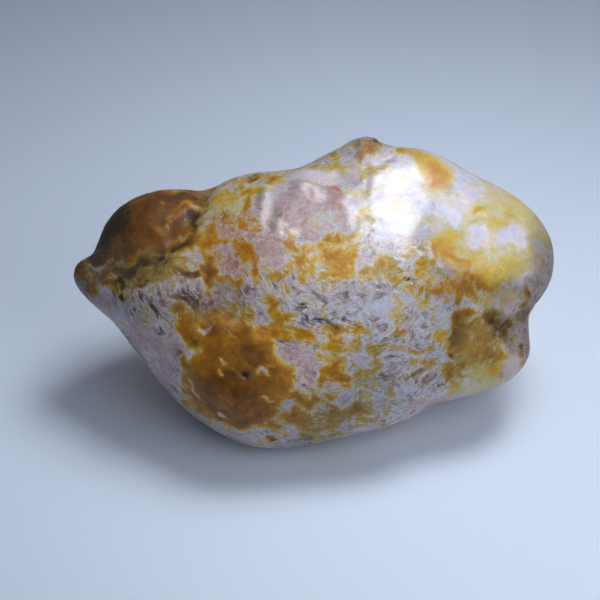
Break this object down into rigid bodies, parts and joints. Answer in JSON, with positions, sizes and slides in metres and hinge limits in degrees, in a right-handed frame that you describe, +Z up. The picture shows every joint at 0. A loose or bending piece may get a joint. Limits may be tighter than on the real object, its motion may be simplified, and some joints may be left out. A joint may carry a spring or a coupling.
{
  "type": "raw agate nodule",
  "caption": "Raw botryoidal agate nodule: a glossy, lumpy, elongated stone of rounded lobes, worn flat on one side so that it rests steady.",
  "frame": {"origin": "in the plane of the flat sole, below the middle of the stone's box", "axes": "+X along the stone's length towards its far lobes, with the beak at -X; +Z up from the sole"},
  "size_m": [0.054, 0.0322, 0.0267],
  "materials": {
    "agate": "gloss"
  },
  "bodies": {
    "root": {"agate_nodule": "agate"}
  },
  "joints": []
}
